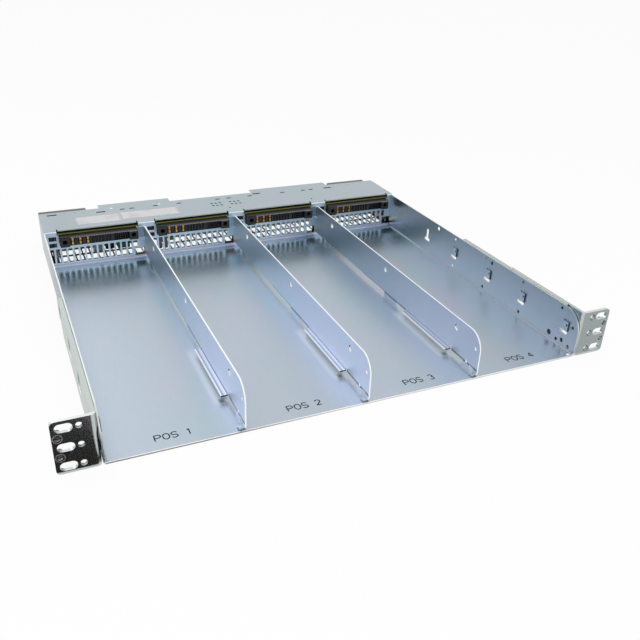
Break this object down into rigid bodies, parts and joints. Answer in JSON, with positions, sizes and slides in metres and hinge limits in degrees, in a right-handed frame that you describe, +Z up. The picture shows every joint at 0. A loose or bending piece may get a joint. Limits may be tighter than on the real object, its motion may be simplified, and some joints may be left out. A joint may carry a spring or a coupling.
{
  "type": "rack power shelf",
  "caption": "Low folded-steel rack shelf with side-by-side bays for plug-in power supplies, dividers, a vented connector bulkhead, a covered rear compartment and rack ears.",
  "frame": {"origin": "middle of the outer box's bottom", "axes": "+X right seen from the front, +Y from the front to the rear, +Z up"},
  "size_m": [0.4826, 0.442, 0.0436],
  "materials": {
    "zinc_sheet": "clear zinc plate with a faint blue tint",
    "zinc_ear": "clear zinc plate, greyer",
    "board": "green solder mask",
    "black_plastic": "black moulded plastic",
    "copper": "bare copper",
    "contact": "copper alloy",
    "tin": "tin plate",
    "steel_screw": "zinc plated steel",
    "insulator": "dark moulded insulator"
  },
  "bodies": {
    "root": {"chassis_pan": "zinc_sheet", "compartment_cover": "zinc_sheet", "rear_panel": "zinc_sheet", "divider_1": "zinc_sheet", "divider_2": "zinc_sheet", "divider_3": "zinc_sheet", "ear_bracket_left": "zinc_ear", "ear_bracket_right": "zinc_ear", "backplane_board": "board", "board_posts": "tin", "board_screws": "steel_screw", "bus_lugs": "tin", "riser_boards": "board", "busbar_negative": "copper", "busbar_positive": "copper", "busbar_bushing": "black_plastic", "ac_terminal_block_left": "black_plastic", "ac_terminal_block_right": "black_plastic", "terminal_screws_left": "steel_screw", "terminal_screws_right": "steel_screw", "terminal_cover_left": "insulator", "terminal_cover_right": "insulator", "signal_socket": "black_plastic", "ground_stud": "steel_screw", "ground_nut": "steel_screw", "connector_1": "black_plastic", "power_contacts_1": "contact", "signal_pins_1": "tin", "connector_2": "black_plastic", "power_contacts_2": "contact", "signal_pins_2": "tin", "connector_3": "black_plastic", "power_contacts_3": "contact", "signal_pins_3": "tin", "connector_4": "black_plastic", "power_contacts_4": "contact", "signal_pins_4": "tin"}
  },
  "joints": []
}
